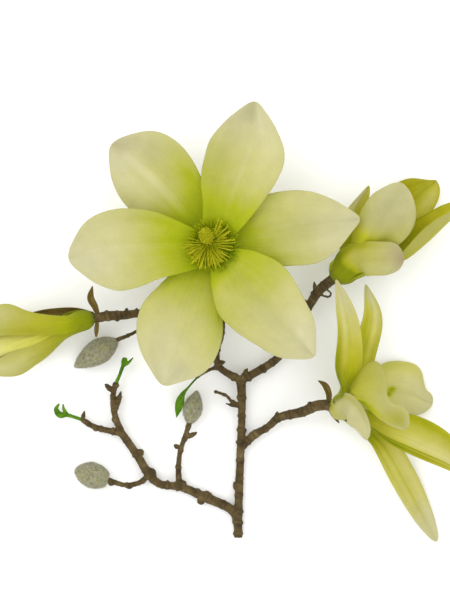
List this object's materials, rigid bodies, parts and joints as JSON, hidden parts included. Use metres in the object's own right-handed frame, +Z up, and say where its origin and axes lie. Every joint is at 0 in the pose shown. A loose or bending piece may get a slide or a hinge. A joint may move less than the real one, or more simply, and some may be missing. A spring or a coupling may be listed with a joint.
{
  "type": "magnolia branch",
  "caption": "Cut magnolia branch lying on a surface: knobbly brown twigs carry a wide open bloom, half-open and closing side flowers, felt buds, green shoot tips and a leaf.",
  "frame": {"origin": "on the surface the branch lies on, under the middle of the branch's box", "axes": "+X across the branch to the right, +Y along the stem from its cut end towards the upper flowers, +Z up from the surface"},
  "size_m": [0.2684, 0.2295, 0.0506],
  "materials": {
    "petal": "soft matt petal, cream-green to yellow-green at the base",
    "petal_base": "matt olive green",
    "wood": "rough brown bark",
    "bud_scale": "thin brown scale, matt",
    "felt": "grey-green felted hairs",
    "pistil": "matt yellow-green",
    "stamen": "matt green",
    "shoot": "smooth bright green"
  },
  "bodies": {
    "root": {"felt_bud_back": "felt", "felt_bud_left": "felt", "felt_bud_up": "felt", "leaf": "shoot", "left_back_petal": "petal", "left_inner_petal": "petal", "left_long_scale": "bud_scale", "left_lower_petal": "petal", "left_receptacle": "petal_base", "left_scale_high": "bud_scale", "left_scale_low": "bud_scale", "left_upper_petal": "petal", "main_inner_left": "petal", "main_inner_right": "petal", "main_inner_top": "petal", "main_outer_bottom": "petal", "main_outer_left": "petal", "main_outer_right": "petal", "main_pistil": "pistil", "main_receptacle": "petal_base", "main_stamens": "stamen", "right_back_petal": "petal", "right_front_petal": "petal", "right_long_petal": "petal", "right_low_right_petal": "petal", "right_pistil": "pistil", "right_receptacle": "petal_base", "right_scale_high": "bud_scale", "right_scale_low": "bud_scale", "right_short_petal": "petal", "right_tall_left_petal": "petal", "right_tall_right_petal": "petal", "shoot_left": "shoot", "shoot_up": "shoot", "upper_front_petal": "petal", "upper_high_petal": "petal", "upper_left_petal": "petal", "upper_low_petal": "petal", "upper_pistil": "pistil", "upper_receptacle": "petal_base", "upper_right_petal": "petal", "woody_branch": "wood"}
  },
  "joints": []
}
